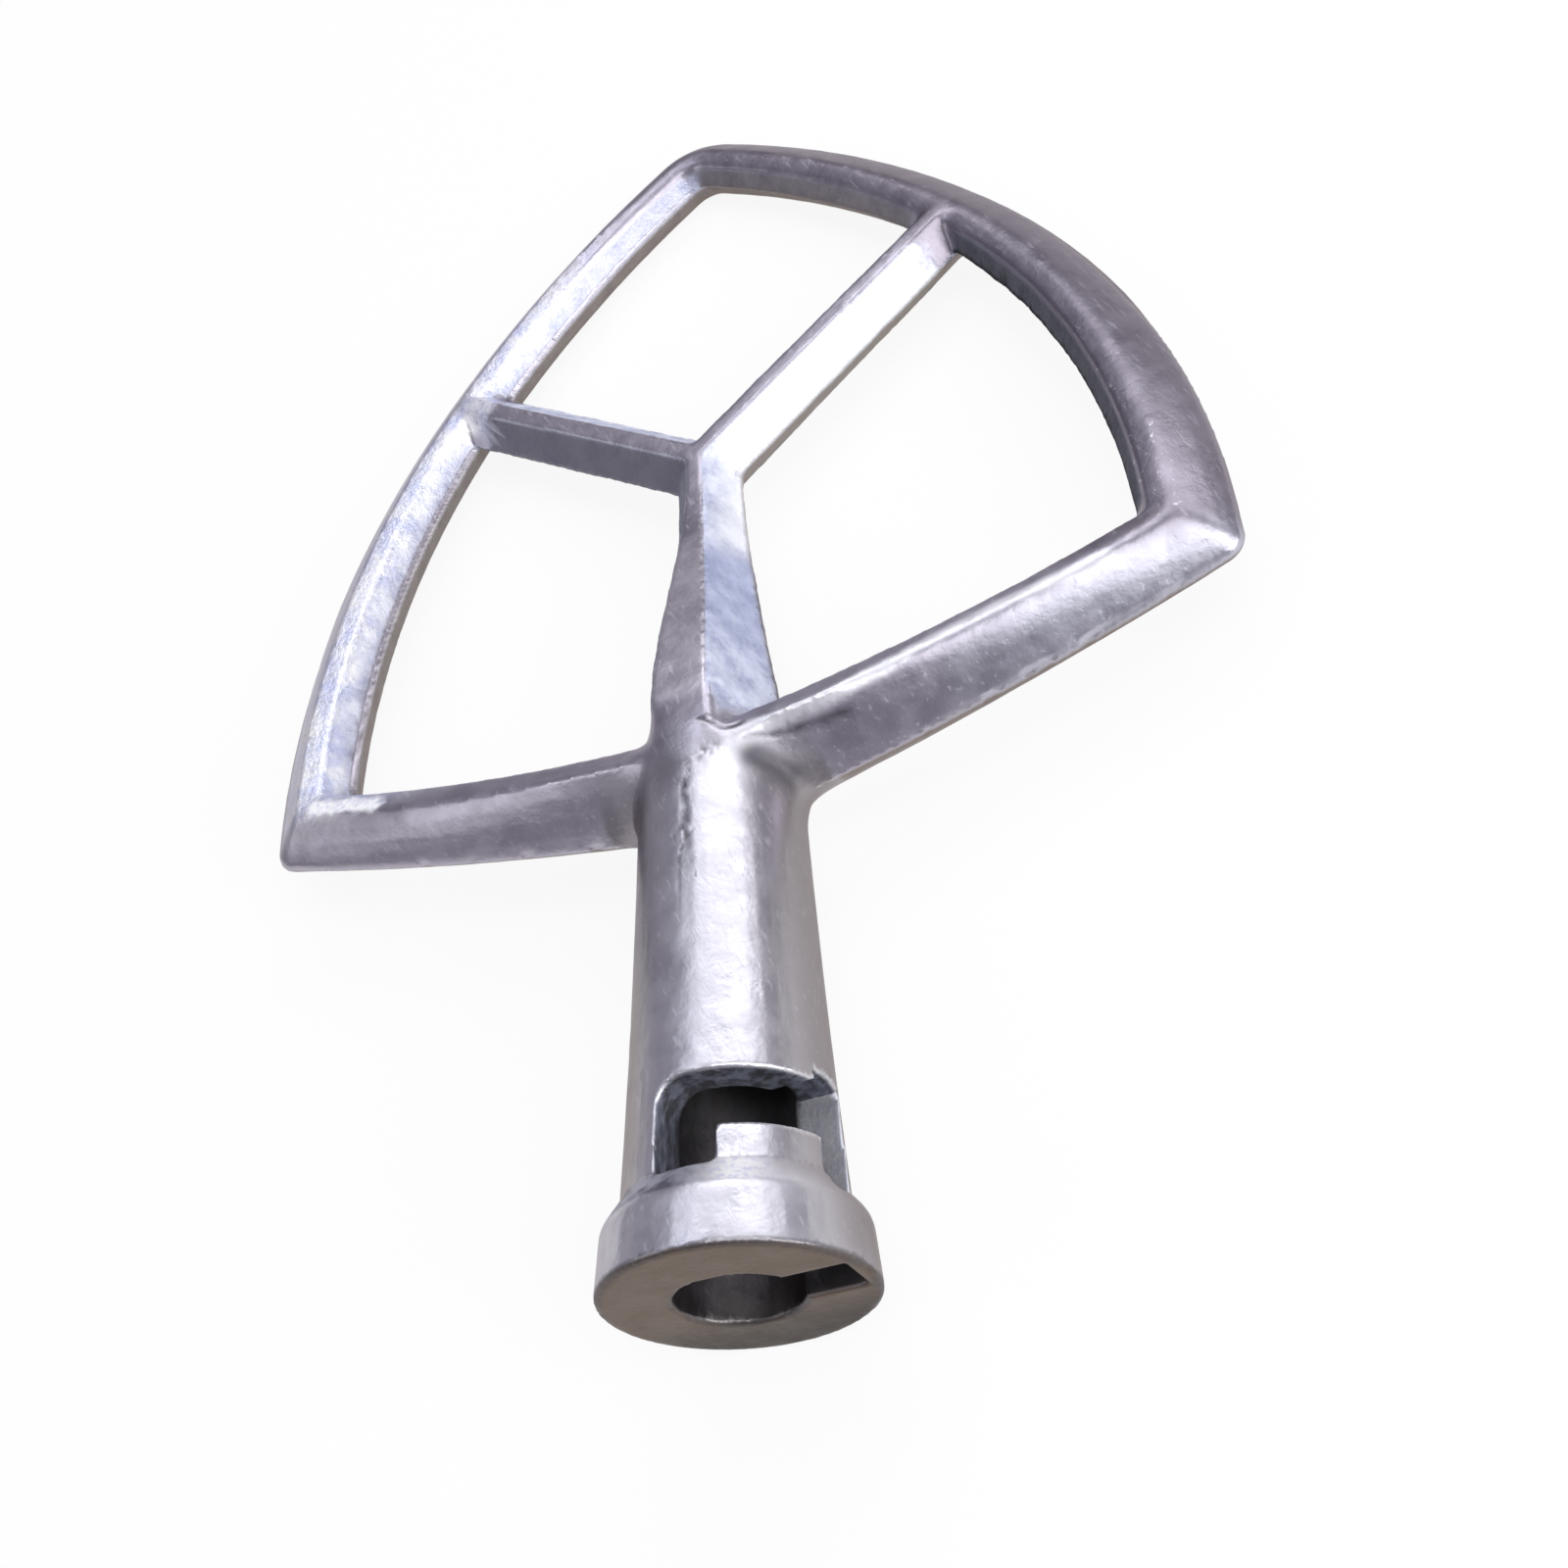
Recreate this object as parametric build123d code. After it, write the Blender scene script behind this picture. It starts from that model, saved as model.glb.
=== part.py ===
from build123d import *
import os
from math import atan2, cos, degrees, hypot, radians, sin, sqrt, tan

os.makedirs("parts", exist_ok=True)

# Flat beater for a stand mixer, one aluminium casting, sizes in millimetres.
# It is drawn upright on its shaft axis: X across the frame, Y along the shaft away from the
# hub mouth, Z out of the flat frame. The last step lays it down as it rests on a table.

# From the hub mouth to the outer edge of the frame at its tip, along the shaft
paddle_length = 182.4

# Hub outside
hub_mouth_radius = 14.1
collar_top_radius = 13.6
collar_length = 6.6
collar_cone_length = 3.0
hub_root_radius = 11.6
hub_waist_radius = 10.25
hub_waist_at = 36.0
hub_end_radius = 9.6
hub_end_at = 58.0
hub_nose_length = 9.0
mouth_edge_round = 0.5

# Shaft bore, entry groove and turning slot
bore_radius = 6.45
bore_depth = 46.0
bore_tip_angle = 59.0
groove_width = 6.1
groove_reach = 12.3
groove_end = 20.8
slot_low_edge = 13.5
slot_height = 6.0
seat_width = 6.6
seat_end = 9.4
seat_corner_round = 3.0
seat_foot_round = 0.8
cut_overrun = 1.0

# Outline of the frame at the parting plane
tip_radius = 10.6
tip_arc_angle = 33.8
shoulder_arc_radius = 143.0
shoulder_arc_end = 54.4
side_arc_radius = 115.0
arm_root_at = 54.9
arm_root_slope = 9.3
arm_bow_radius = 415.0
outer_corner_radius = 2.8
crest_corner_radius = 1.2
inner_corner_radius = 2.5

# Section of the frame, from the outer edge inwards, and how it shrinks towards the tip
frame_width = 10.5
frame_half_depth = 4.5
outer_edge_land = 0.9
crest_inset = 5.7
land_width = 2.8
land_drop = 0.55
inner_edge_round = 0.5
tip_section_scale = 0.82
shoulder_section_scale = 0.86
corner_section_scale = 1.02
bevel_steps = 4
rim_bevel_bow = 0.25

# Height of the crest of the arms, halfway along and at the hub
arm_middle_height = 6.3
arm_root_height = 9.2

# Spine from the hub to the fork
spine_root_at = 61.0
spine_root_half_depth = 9.7
spine_root_half_width = 8.9
spine_middle_at = 77.0
spine_middle_half_depth = 8.9
spine_middle_half_width = 6.9
spine_end_at = 105.0
spine_land = 3.1
spine_bevel_width = 0.6
spine_bevel_drop = 0.6

# Two branches from the fork to the frame
branch_angle = 37.8
branch_low_edge_at = 107.2
branch_half_width = 4.5
branch_half_depth = 4.4
branch_land = 1.1
branch_bevel_width = 0.35
branch_bevel_drop = 0.3


def at(angle, radius, centre=(0.0, 0.0)):
    # a point at an angle measured from the +Y axis towards +X
    return (centre[0] + radius * sin(radians(angle)), centre[1] + radius * cos(radians(angle)))


def angle_of(point, centre):
    return degrees(atan2(point[0] - centre[0], point[1] - centre[1]))


# Centres of the outline arcs, each arc tangent to the one before it
tip_centre = (0.0, paddle_length - tip_radius)
shoulder_centre = at(tip_arc_angle, tip_radius - shoulder_arc_radius, tip_centre)
side_centre = at(shoulder_arc_end, shoulder_arc_radius - side_arc_radius, shoulder_centre)
arm_centre = at(-arm_root_slope, arm_bow_radius, (0.0, arm_root_at))


def corner_radius(inset):
    if inset <= crest_inset:
        part = inset / crest_inset
        return outer_corner_radius + (crest_corner_radius - outer_corner_radius) * part
    part = (inset - crest_inset) / (frame_width - crest_inset)
    return crest_corner_radius + (inner_corner_radius - crest_corner_radius) * part


def corner_centre(inset, radius):
    # centre of an arc tangent inside both the arm arc and the side arc
    ra = arm_bow_radius - inset - radius
    rs = side_arc_radius - inset - radius
    dx = side_centre[0] - arm_centre[0]
    dy = side_centre[1] - arm_centre[1]
    span = hypot(dx, dy)
    along = (span * span + ra * ra - rs * rs) / (2.0 * span)
    off = sqrt(ra * ra - along * along)
    ux = dx / span
    uy = dy / span
    return (arm_centre[0] + ux * along - uy * off, arm_centre[1] + uy * along + ux * off)


# The bevel starts above a short upright land at the outer edge
edge_run = outer_edge_land * 0.4
rise = frame_half_depth - outer_edge_land
run = crest_inset - edge_run


def rim_height(inset, height):
    # the rounded bevel of the arms is nearly flat round the rim
    if inset < edge_run or inset > crest_inset:
        return height
    flat = outer_edge_land + rise * (inset - edge_run) / run
    return flat + rim_bevel_bow * (height - flat)


def frame_section():
    # inset from the outer edge and height over the parting plane, upper half only
    points = [(0.0, 0.0)]
    for i in range(bevel_steps + 1):
        part = i / bevel_steps
        turn = radians(90.0 * part)
        inset = edge_run + run * (0.55 * (1.0 - cos(turn)) + 0.45 * part)
        points.append((inset, outer_edge_land + rise * sin(turn) ** 1.15))
    land_end = crest_inset + land_width
    land_height = frame_half_depth - land_drop
    slope = land_height / (frame_width - land_end)
    points.append((land_end, land_height))
    points.append((land_end + inner_edge_round, land_height - 0.72 * slope * inner_edge_round))
    points.append((frame_width, 0.0))
    return points


def rail(inset, height, side, up):
    # one lengthwise line of the frame, from the tip round the side and along the arm to the axis
    on_rim = rim_height(inset, height)

    def point(angle, reach, centre, scale, z=None):
        x, y = at(angle, reach - inset * scale, centre)
        return (side * x, y, up * (on_rim * scale if z is None else z))

    def arc(reach, centre, first, last, first_scale, last_scale):
        return ThreePointArc(
            point(first, reach, centre, first_scale),
            point((first + last) / 2.0, reach, centre, (first_scale + last_scale) / 2.0),
            point(last, reach, centre, last_scale),
        )

    radius = corner_radius(inset)
    centre = corner_centre(inset * corner_section_scale, radius)
    side_end = angle_of(centre, side_centre)
    arm_start = angle_of(centre, arm_centre)
    axis_end = (0.0, arm_centre[1] - sqrt((arm_bow_radius - inset) ** 2 - arm_centre[0] ** 2))
    arm_middle = (arm_start + angle_of(axis_end, arm_centre)) / 2.0
    turns = [side_end, (side_end + arm_start) / 2.0, arm_start]
    corner_height = up * on_rim * corner_section_scale
    corner = [(side * x, y, corner_height) for x, y in [at(t, radius, centre) for t in turns]]
    # towards the hub the rounded outside of the section turns into a flat slope
    share = height / frame_half_depth
    slope = inset / crest_inset if inset < crest_inset else share
    arm = [
        point(arm_start, arm_bow_radius, arm_centre, corner_section_scale),
        point(arm_middle, arm_bow_radius, arm_centre, 1.0, arm_middle_height * (share + slope) / 2.0),
        (0.0, axis_end[1], up * arm_root_height * slope),
    ]
    return [
        arc(tip_radius, tip_centre, 0.0, tip_arc_angle, tip_section_scale, tip_section_scale),
        arc(shoulder_arc_radius, shoulder_centre, tip_arc_angle, shoulder_arc_end,
            tip_section_scale, shoulder_section_scale),
        arc(side_arc_radius, side_centre, shoulder_arc_end, side_end,
            shoulder_section_scale, corner_section_scale),
        ThreePointArc(*corner),
        Spline(*arm) if height > 0.0 else ThreePointArc(*arm),
    ]


def frame_ring():
    # the closed bar of the frame, skinned strip by strip between neighbouring rails
    section = frame_section()
    rows = [(n, h, 1.0) for n, h in section] + [(n, h, -1.0) for n, h in section[-2:0:-1]]
    faces = []
    for side in (1.0, -1.0):
        rails = [rail(n, h, side, up) for n, h, up in rows]
        for first, second in zip(rails, rails[1:] + rails[:1]):
            for a, b in zip(first, second):
                faces.append(Face.make_surface_from_curves(a.edge(), b.edge()))
    return Solid(Shell(faces))


def rib_face(plane, half_width, half_depth, land, bevel_width, bevel_drop):
    # one rib across its length: a narrow land, a small bevel and a drafted wall to the parting plane
    corner = [(land, half_depth), (land + bevel_width, half_depth - bevel_drop), (half_width, 0.0)]
    right = corner + [(x, -z) for x, z in corner[1::-1]]
    outline = right + [(-x, z) for x, z in right[::-1]]
    return plane * make_face(Polyline(*outline, close=True))


def across(y):
    return Plane(origin=(0.0, y, 0.0), x_dir=(1.0, 0.0, 0.0), z_dir=(0.0, -1.0, 0.0))


# Fork: both branches start on the axis and end under the crest of the frame, level with it
fork_at = branch_low_edge_at + branch_half_width / cos(radians(branch_angle))
branch_edges = (branch_land, branch_bevel_width, branch_bevel_drop)
branch_end_half_depth = frame_half_depth * shoulder_section_scale


def branch(side):
    ux = cos(radians(branch_angle))
    uy = sin(radians(branch_angle))
    # length from the axis to the crest line of the side arc
    px = -side_centre[0]
    py = fork_at - side_centre[1]
    half = px * ux + py * uy
    reach = sqrt(half * half - px * px - py * py + (side_arc_radius - crest_inset) ** 2) - half
    ends = []
    for distance, half_depth in ((0.0, branch_half_depth), (reach, branch_end_half_depth)):
        origin = (side * ux * distance, fork_at + uy * distance, 0.0)
        end = Plane(origin=origin, x_dir=(-uy * side, ux, 0.0), z_dir=(ux * side, uy, 0.0))
        ends.append(rib_face(end, branch_half_width, half_depth, *branch_edges))
    return loft(ends)


def spine():
    edges = (spine_land, spine_bevel_width, spine_bevel_drop)
    return loft([
        rib_face(across(spine_root_at), spine_root_half_width, spine_root_half_depth, *edges),
        rib_face(across(spine_middle_at), spine_middle_half_width, spine_middle_half_depth, *edges),
        rib_face(across(spine_end_at), branch_half_width, branch_half_depth, *branch_edges),
        rib_face(across(fork_at + branch_land), branch_half_width, branch_half_depth, *branch_edges),
    ])


def hub():
    cone_end = collar_length + collar_cone_length
    nose_end = hub_end_at + hub_nose_length
    outline = [
        Line((0.0, 0.0), (hub_mouth_radius, 0.0)),
        Line((hub_mouth_radius, 0.0), (collar_top_radius, collar_length)),
        Line((collar_top_radius, collar_length), (hub_root_radius, cone_end)),
        Spline((hub_root_radius, cone_end), (hub_waist_radius, hub_waist_at), (hub_end_radius, hub_end_at)),
        EllipticalCenterArc((0.0, hub_end_at), hub_end_radius, hub_nose_length, start_angle=0.0, arc_size=90.0),
        Line((0.0, nose_end), (0.0, 0.0)),
    ]
    body = revolve(make_face(outline), axis=Axis.Y)
    body = fillet(body.edges().group_by(Axis.Y)[0], mouth_edge_round)
    # the closing line of the turned surface is kept away from the slot and the ribs
    return Rot(0.0, 135.0, 0.0) * body


def shaft_cuts():
    past = hub_mouth_radius + cut_overrun
    drill_tip = bore_radius / tan(radians(bore_tip_angle))
    start = -cut_overrun
    drill = [(0.0, start), (bore_radius, start), (bore_radius, bore_depth), (0.0, bore_depth + drill_tip)]
    bore = revolve(make_face(Polyline(*drill, close=True)), axis=Axis.Y)
    groove_length = groove_end + cut_overrun
    groove = Box(groove_reach, groove_length, groove_width)
    groove = Pos(groove_reach / 2.0, groove_end - groove_length / 2.0, 0.0) * groove
    # the slot runs a quarter turn from the groove to the seat on the front of the hub
    slot = Pos(past / 2.0, slot_low_edge + slot_height / 2.0, past / 2.0) * Box(past, slot_height, past)
    seat_height = slot_low_edge + slot_height - seat_end
    seat = Pos(0.0, seat_end + seat_height / 2.0) * Rectangle(seat_width, seat_height)
    far_corner = seat.vertices().sort_by(Axis.X)[:2].sort_by(Axis.Y)[-1]
    seat = fillet(far_corner, seat_corner_round)
    seat = fillet(seat.vertices().sort_by(Axis.Y)[:2], seat_foot_round)
    return [bore, groove, slot, extrude(seat, amount=past)]


def laid_down(body):
    # the hub mouth and the underside of the tip carry it on a table
    drop = hub_mouth_radius - frame_half_depth * tip_section_scale
    pitch = degrees(atan2(drop, paddle_length - crest_inset * tip_section_scale))
    body = Rot(-pitch, 0.0, 0.0) * body
    box = body.bounding_box()
    return Pos(-box.center().X, -box.center().Y, -box.min.Z) * body


paddle = frame_ring() + spine() + branch(1.0) + branch(-1.0) + hub()
for cut in shaft_cuts():
    paddle = paddle - cut
paddle = laid_down(paddle)
paddle.label = "paddle_casting"
export_step(paddle, "parts/paddle_casting.step")
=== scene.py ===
import math

import bmesh
import bpy
import numpy as np
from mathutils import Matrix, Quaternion, Vector


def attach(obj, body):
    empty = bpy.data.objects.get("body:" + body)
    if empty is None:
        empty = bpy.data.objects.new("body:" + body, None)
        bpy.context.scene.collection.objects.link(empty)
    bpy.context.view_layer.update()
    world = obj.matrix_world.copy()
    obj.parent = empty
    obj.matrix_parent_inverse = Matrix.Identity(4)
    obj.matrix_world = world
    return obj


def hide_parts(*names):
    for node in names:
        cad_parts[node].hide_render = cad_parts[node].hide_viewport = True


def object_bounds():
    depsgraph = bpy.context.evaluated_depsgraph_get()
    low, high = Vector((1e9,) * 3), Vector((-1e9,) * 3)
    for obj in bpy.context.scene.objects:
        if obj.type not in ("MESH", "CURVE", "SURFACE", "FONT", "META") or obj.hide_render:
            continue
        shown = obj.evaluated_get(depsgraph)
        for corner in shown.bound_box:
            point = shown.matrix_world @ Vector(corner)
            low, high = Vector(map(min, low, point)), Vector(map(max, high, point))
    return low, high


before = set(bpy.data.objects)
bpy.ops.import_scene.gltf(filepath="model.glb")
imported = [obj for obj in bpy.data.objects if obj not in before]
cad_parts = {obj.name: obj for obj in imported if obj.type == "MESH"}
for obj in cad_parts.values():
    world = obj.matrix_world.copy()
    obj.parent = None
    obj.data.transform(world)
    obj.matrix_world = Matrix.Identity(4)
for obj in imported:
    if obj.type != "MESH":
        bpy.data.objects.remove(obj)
cad_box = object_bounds()

# The casting is worked out upright on its shaft, in millimetres: u across, v along the shaft from
# the mouth, and w out of the flat frame. It lies on the table with its shaft a little tilted.
SHAFT_TILT = math.radians(3.3521733)
MOUTH_CENTRE = np.array([0.0, -0.090647064, 0.014075875])
MM_PER_METRE = 1000.0

# The skin's grid step and how far each half of the mould is off, in millimetres, and its faces
SKIN_STEP = 0.34
HALF_SLIP = 0.38
TRIANGLES = 186000

# Rounds of filling in the inner corners, and then round the end of the hub
CORNER_ROUNDS = 36
HUB_CORNER_ROUNDS = 300
# Rounds of softening where the casting is worn or cast round
CREST_ROUNDS = 34
ROOT_ROUNDS = 70
NOSE_ROUNDS = 90
COLLAR_ROUNDS = 8

# Arcs of the frame's outer outline, each tangent to the one before it, in millimetres
PADDLE_LENGTH = 182.4
TIP_RADIUS = 10.6
TIP_CENTRE = PADDLE_LENGTH - TIP_RADIUS
TIP_TURN = math.radians(33.8)
SHOULDER_RADIUS = 143.0
SHOULDER_TURN = math.radians(54.4)
SHOULDER_CENTRE = ((TIP_RADIUS - SHOULDER_RADIUS) * math.sin(TIP_TURN),
                   TIP_CENTRE + (TIP_RADIUS - SHOULDER_RADIUS) * math.cos(TIP_TURN))
SIDE_RADIUS = 115.0
SIDE_CENTRE = (SHOULDER_CENTRE[0] + (SHOULDER_RADIUS - SIDE_RADIUS) * math.sin(SHOULDER_TURN),
               SHOULDER_CENTRE[1] + (SHOULDER_RADIUS - SIDE_RADIUS) * math.cos(SHOULDER_TURN))
ARM_RADIUS = 415.0
ARM_SLOPE = math.radians(9.3)
ARM_ROOT_AT = 54.9
ARM_CENTRE = (-ARM_RADIUS * math.sin(ARM_SLOPE), ARM_ROOT_AT + ARM_RADIUS * math.cos(ARM_SLOPE))

# Lines on the front that worn places, tones, painted highlights and painted shade follow, across and
# along, in millimetres
ROOT_LINE = [(7.2, 60.4), (9.3, 57.8), (11.2, 53.4)]
NOSE_LINE = [(-3.3, 61.0), (0.0, 61.6), (3.3, 61.0)]
NOSE_SIDE_LINE = [(-2.2, 62.0), (-2.2, 66.5)]
BROW_LINE = [(-3.2, 57.0), (-1.2, 62.0)]
HEEL_LINE = [(-57.8, 72.5), (-51.6, 71.2), (-46.6, 69.6), (-42.0, 68.8)]
HOLLOW_LINE = [(7.6, 58.9), (10.6, 57.4), (12.0, 54.6), (12.8, 52.0)]
# the painted highlight at the left corner follows this line
PATCH_LINE = [(-55.6, 75.0), (-50.6, 73.6), (-45.8, 72.0)]
# the painted highlight along the right arm's crest follows these two lines
HIGHLIGHT_START = [(4.4, 57.0), (5.4, 60.0), (8.0, 61.6)]
HIGHLIGHT_LINE = [(8.5, 61.8), (11.2, 62.3), (15.1, 63.0), (18.4, 63.9), (22.7, 65.2), (25.9, 66.4),
              (34.7, 69.1), (41.7, 70.5), (49.8, 72.0)]

# Creases left by the mould where the spine runs into the hub: the line, its width and how far it
# wavers in millimetres, then its depth and how broken it is as shares
CREASES = [
    ([(1.9, 64.2), (3.4, 63.2), (4.7, 62.6), (6.6, 63.0)], 0.32, 0.25, 1.0, 0.0),
    ([(3.2, 60.2), (1.2, 58.6), (-0.2, 55.2), (0.0, 51.6), (-0.4, 48.6), (-0.1, 43.5)],
     0.90, 0.45, 1.0, 1.0),
    ([(6.9, 61.0), (9.6, 60.9), (12.0, 61.2), (15.3, 61.5), (18.6, 62.1)], 0.30, 0.20, 0.8, 0.0),
]

# The masks kept in the mesh, one value for each point, which the finish reads
MASKS = ("wall", "below", "cut", "bore", "worn", "painted_corner_shade", "hub", "shy", "painted_glare", "mouth", "lee",
         "branch", "painted_rim_shade", "spine", "blue", "deep", "shade", "hollow", "speck", "painted_crease_shade", "arm",
         "cone", "painted_highlight", "painted_crest_highlight", "dim_cone")

# Colours of the finish, as red, green and blue
WHITE = (1.0, 1.0, 1.0)
FACE_DIM, FACE_LIT = (0.40, 0.375, 0.435), (0.54, 0.51, 0.585)
ARM_FACE = (0.54, 0.545, 0.62)
# painted shade on the right rim's faces
RIM_SHADE_FACE = (0.30, 0.272, 0.32)
SPINE_FACE = (0.72, 0.68, 0.74)
BARREL_DIM, BARREL_LIT = (0.58, 0.57, 0.62), (0.74, 0.73, 0.79)
BARREL_LEE = (0.31, 0.285, 0.295)
# painted light on the cone above the collar, and painted shade on its left part
CONE = (0.80, 0.80, 0.84)
CONE_DIM, CONE_LIT = (0.16, 0.16, 0.21), (0.50, 0.51, 0.60)
ROUGH_DIM, ROUGH_LIT = (0.40, 0.44, 0.62), (0.78, 0.82, 0.96)
ROUGH_GRAIN = (0.95, 0.96, 1.0)
BLUE_DIM, BLUE_LIT = (0.24, 0.28, 0.46), (0.48, 0.53, 0.76)
# painted highlight on the right arm's crest, and painted light on the right branch's walls
SILVER = (0.96, 0.97, 1.0)
# painted glare on the left rim, with its grain
GLARE = (0.66, 0.70, 0.92)
GLARE_GRAIN = (0.30, 0.32, 0.46)
CUT_DIM, CUT_LIT = (0.025, 0.028, 0.04), (0.28, 0.31, 0.40)
SCRATCH = (0.90, 0.90, 0.94)
# grain in the painted highlights
HIGHLIGHT_GRAIN = (0.58, 0.62, 0.82)
SHADE = (0.15, 0.14, 0.17)
SHY = (0.030, 0.028, 0.034)
# painted shade: brown below and on the mouth, darkest low in the mouth
BROWN_DIM, BROWN_LIT = (0.13, 0.095, 0.07), (0.25, 0.20, 0.155)
MOUTH = (0.128, 0.092, 0.064)
DEEP_MOUTH = (0.030, 0.024, 0.020)
# painted shade in inner corners, in the hollow where the hub meets the right arm, and in the creases
CORNER_SHADE = (0.10, 0.09, 0.10)
HOLLOW = (0.08, 0.077, 0.09)
CREASE_SHADE = (0.05, 0.047, 0.055)
WORN = (0.86, 0.86, 0.90)
# painted shade in the bore and its groove
BORE = (0.16, 0.15, 0.155)
GLANCE_TINT = (0.70, 0.67, 0.67)

# Scales of the noises of the finish, in turns for each metre, and the depth of its bumps in metres
CLOUD_SCALE = 90.0
PATCH_SCALE = 300.0
STREAK_SCALE = 700.0
GRAIN_SCALE = 1300.0
DOT_SCALE = 1350.0
SCRATCH_SCALE = 1900.0
BUMP_DEPTH = 0.0003

# The photograph's camera, in metres, degrees and millimetres
CAMERA_PLACE = (0.07585446, -0.14762288, 0.17483753)
CAMERA_TURN = (31.23543971, 25.14873256, -4.62736587)
SENSOR_WIDTH = 36.0
FOCAL_LENGTH = 42.848
NEAREST_SEEN = 0.01

# The lamps: name, bearing and height in degrees, distance and size in metres, watts, colour, roll
LAMPS = [
    ("window", 25.0, 40.0, 1.25, (1.38, 0.42), 5.4, (0.97, 0.98, 1.0), 22.0),
    ("ceiling", 108.0, 61.0, 1.20, (0.75, 1.15), 6.6, WHITE, 0.0),
    ("skylight", -32.0, 62.0, 1.20, (0.45, 0.30), 0.9, (0.86, 0.91, 1.0), 0.0),
    ("side", 118.0, 22.0, 1.15, (0.70, 0.42), 5.6, WHITE, 0.0),
    ("room", -108.0, 42.0, 1.20, (0.80, 0.50), 1.5, WHITE, 0.0),
]
ROOM = (0.26, 0.25, 0.29)
FLOOR = (0.95, 0.95, 0.95)
FLOOR_GLOW = 0.9
FLOOR_REACH = 4.0
FLOOR_LINES = 9


def tilt_matrix():
    """Turn about the X axis that takes the upright casting to the way it lies."""
    c, s = math.cos(SHAFT_TILT), math.sin(SHAFT_TILT)
    return np.array([[1.0, 0.0, 0.0], [0.0, c, s], [0.0, -s, c]])


def to_shaft(points):
    """Row frame in metres to the upright casting in millimetres: shift to the mouth, turn back."""
    return (points - MOUTH_CENTRE) @ tilt_matrix() * MM_PER_METRE


def to_row(points):
    """The upright casting in millimetres to the row frame in metres: turn, then shift."""
    return points @ tilt_matrix().T / MM_PER_METRE + MOUTH_CENTRE


def smoothstep(x, low, high):
    """0 below low, 1 above high, and an even S curve between."""
    t = np.clip((x - low) / (high - low), 0.0, 1.0)
    return t * t * (3.0 - 2.0 * t)


def fade(x, low, high):
    """1 below low, 0 above high, and an even S curve between."""
    return 1.0 - smoothstep(x, low, high)


def mesh_arrays(mesh):
    """The points and the edge pairs of a mesh as arrays."""
    points = np.zeros(len(mesh.vertices) * 3)
    mesh.vertices.foreach_get("co", points)
    edges = np.zeros(len(mesh.edges) * 2, np.int64)
    mesh.edges.foreach_get("vertices", edges)
    return points.reshape(-1, 3), edges.reshape(-1, 2)


def point_normals(mesh, points):
    """Unit normals at the points, after the points are put into the mesh."""
    mesh.vertices.foreach_set("co", points.ravel())
    mesh.update()
    normals = np.zeros(len(points) * 3)
    mesh.vertices.foreach_get("normal", normals)
    return normals.reshape(-1, 3)


def neighbour_mean(values, edges):
    """Mean of the values at the other ends of each point's edges."""
    count = np.bincount(edges.ravel(), minlength=len(values)).astype(float)
    out = np.empty_like(values)
    for axis in range(values.shape[1]):
        total = np.bincount(edges[:, 0], values[edges[:, 1], axis], len(values))
        total += np.bincount(edges[:, 1], values[edges[:, 0], axis], len(values))
        out[:, axis] = total / np.maximum(count, 1.0)
    return out


def relax(points, edges, rounds):
    """Evens out the skin without shrinking it: a step towards the mean of the neighbours, and a
    slightly longer step back, repeated."""
    for _ in range(rounds):
        points = points + 0.50 * (neighbour_mean(points, edges) - points)
        points = points - 0.52 * (neighbour_mean(points, edges) - points)
    return points


def shared_part(edges, share):
    """The points with a share and their neighbours, the edges between them, and half the share."""
    live = (share[edges] > 0.0).any(axis=1)
    used, local = np.unique(edges[live], return_inverse=True)
    return used, local.reshape(-1, 2), (share[used] * 0.5)[:, None]


def fill_corners(mesh, points, edges, rounds, share):
    """Cast fillets: where the mean of the neighbours lies outside the skin, which is in an inner
    corner, the point moves out towards it, by the share given for each point. The normals are
    taken anew every few rounds."""
    used, local, weight = shared_part(edges, share)
    part = points[used]
    normals_every, longest_step = 18, 0.25
    for turn in range(rounds):
        if turn % normals_every == 0:
            points[used] = part
            normals = point_normals(mesh, points)[used]
        step = neighbour_mean(part, local) - part
        out = np.einsum("ij,ij->i", step, normals)
        part = part + normals * np.clip(out, 0.0, longest_step)[:, None] * weight
    points[used] = part
    return points


def soften(points, edges, rounds, share):
    """Wears edges round: each point goes half the way to the mean of its neighbours, by the share
    given for it, again and again."""
    used, local, weight = shared_part(edges, share)
    part = points[used]
    for _ in range(rounds):
        part = part + weight * (neighbour_mean(part, local) - part)
    points[used] = part
    return points


def baked(obj):
    """The object's mesh with its modifiers applied."""
    graph = bpy.context.evaluated_depsgraph_get()
    made = bpy.data.meshes.new_from_object(obj.evaluated_get(graph))
    bpy.data.objects.remove(obj)
    return made


def linked(name, data):
    """A new object with the data, in the scene."""
    made = bpy.data.objects.new(name, data)
    bpy.context.scene.collection.objects.link(made)
    return made


def lump(points, wave, seed):
    """Soft lumps from about -1 to 1: the sum of six products of two sines along turned axes, over
    three. The wave is the length of the sines."""
    rng = np.random.default_rng(seed)
    total = np.zeros(len(points))
    for _ in range(6):
        a = rng.normal(size=3)
        b = rng.normal(size=3)
        a *= 2.0 * math.pi / wave / np.linalg.norm(a)
        b *= 2.0 * math.pi / wave / np.linalg.norm(b)
        pa, pb = rng.uniform(0.0, 2.0 * math.pi, 2)
        total += np.sin(points @ a + pa) * np.sin(points @ b + pb)
    return total / 3.0


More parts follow.
